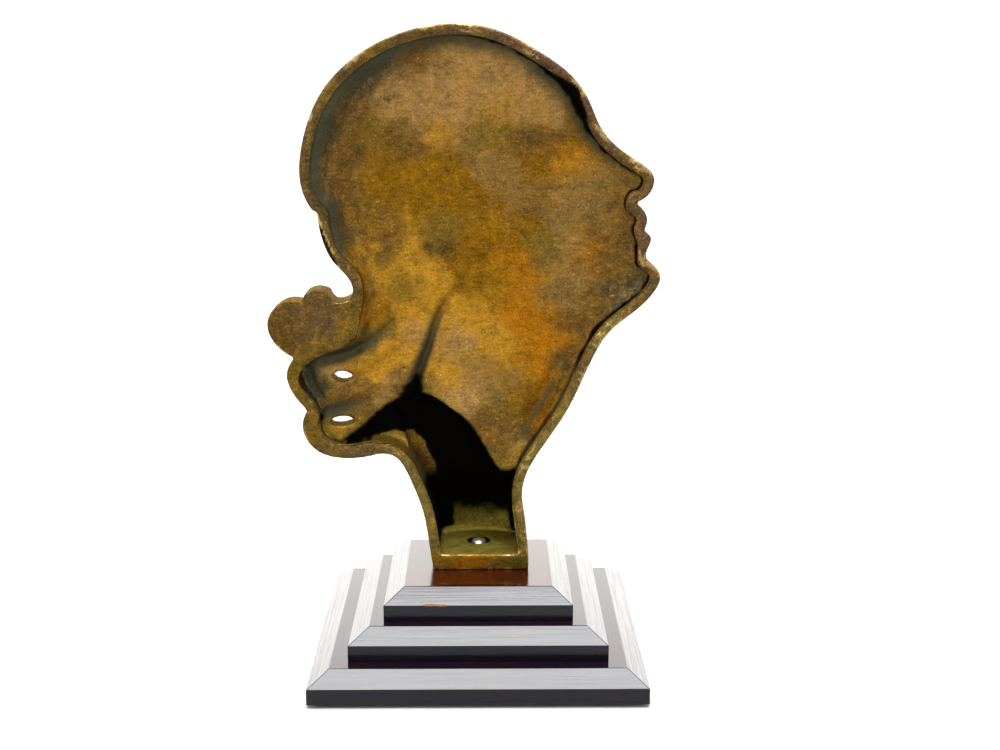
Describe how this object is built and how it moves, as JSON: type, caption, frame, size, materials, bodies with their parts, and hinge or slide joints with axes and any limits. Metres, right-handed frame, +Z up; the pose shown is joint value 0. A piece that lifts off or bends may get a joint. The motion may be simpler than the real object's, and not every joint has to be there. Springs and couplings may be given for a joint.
{
  "type": "hood ornament",
  "caption": "Hollow-backed cast bronze head in profile with a curled chignon, bolted upright to a square plinth of three stepped, bevelled hardwood tiers.",
  "frame": {"origin": "centre of the square underside that the plinth rests on", "axes": "+Z up; -Y is the side the hollow back of the head opens to; +X is the way the face looks"},
  "size_m": [0.1216, 0.102, 0.1987],
  "materials": {
    "bronze": "as-cast bronze with an aged golden-olive patina, black in the neck's pocket",
    "bolt_steel": "bright zinc plate",
    "spring_steel": "dark oiled spring steel",
    "screw_steel": "plain steel",
    "ebonised_wood": "ebonised hardwood under polished lacquer",
    "felt": "dense green wool felt"
  },
  "bodies": {
    "plinth": {"bottom_tier": "ebonised_wood", "middle_tier": "ebonised_wood", "top_tier": "ebonised_wood", "felt": "felt", "flat_washer": "bolt_steel", "spring_washer": "spring_steel", "wood_screw_1": "screw_steel", "wood_screw_2": "screw_steel", "wood_screw_3": "screw_steel", "wood_screw_4": "screw_steel", "wood_screw_5": "screw_steel", "wood_screw_6": "screw_steel"},
    "mascot": {"mascot_casting": "bronze", "mounting_bolt": "bolt_steel"}
  },
  "joints": [
    {"name": "mascot_swivel", "type": "hinge", "parent": "plinth", "child": "mascot", "pos_m": [0, 0.007, 0.028], "axis": [0, 0, 1], "continuous": true}
  ]
}
